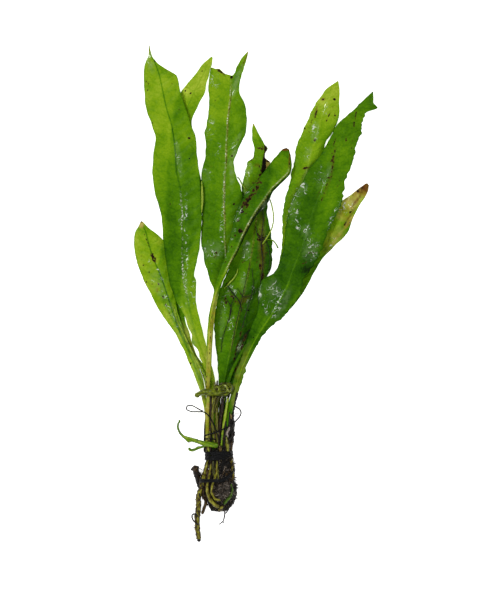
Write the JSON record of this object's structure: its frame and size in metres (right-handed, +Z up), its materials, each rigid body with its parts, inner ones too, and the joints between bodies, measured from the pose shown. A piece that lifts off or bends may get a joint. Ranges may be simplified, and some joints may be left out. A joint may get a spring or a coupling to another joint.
{
  "type": "java fern",
  "caption": "Bunch of long green strap-shaped fern leaves on slim stalks above a dark clump of matted roots, tied round with black thread and laid flat.",
  "frame": {"origin": "centre of the bounding box's underside, on the surface that the bunch lies on", "axes": "+Y from the roots to the leaf tips, +X to the right of the bunch seen from above, +Z up from the surface"},
  "size_m": [0.1218, 0.2479, 0.0111],
  "materials": {
    "leaf_green": "gloss",
    "leaf_pale": "gloss",
    "leaf_dark": "gloss",
    "leaf_yellow": "gloss",
    "stalk_green": "gloss",
    "rhizome": "satin",
    "root_brown": "matte",
    "root_black": "matte",
    "thread": "matte"
  },
  "bodies": {
    "root": {"leaf_left_tall": "leaf_green", "leaf_centre_tall": "leaf_green", "leaf_folded_front": "leaf_green", "leaf_left_low": "leaf_pale", "leaf_right_light": "leaf_pale", "leaf_centre_spotted": "leaf_dark", "leaf_right_broad": "leaf_dark", "leaf_pale_behind": "leaf_yellow", "leaf_right_yellow": "leaf_yellow", "stalk_bright": "stalk_green", "stalk_slim": "stalk_green", "stalk_dead": "root_black", "side_shoot": "stalk_green", "frond_coiled": "stalk_green", "sprout_long": "stalk_green", "sprout_short": "stalk_green", "runner_arched": "stalk_green", "runner_hooked": "stalk_green", "runner_small": "stalk_green", "rootlet_green": "stalk_green", "rhizome_long": "rhizome", "rhizome_stub": "root_brown", "rhizome_bent_outer": "rhizome", "rhizome_bent_inner": "rhizome", "rhizome_green_tip": "stalk_green", "root_mat": "root_brown", "root_tan": "root_brown", "root_loop": "root_black", "root_fine_bottom": "root_black", "root_fine_fork": "root_black", "thread_band_upper": "thread", "thread_band_lower": "thread", "thread_left_loop": "thread", "thread_right_loop": "thread", "thread_lower_stray": "thread"}
  },
  "joints": []
}
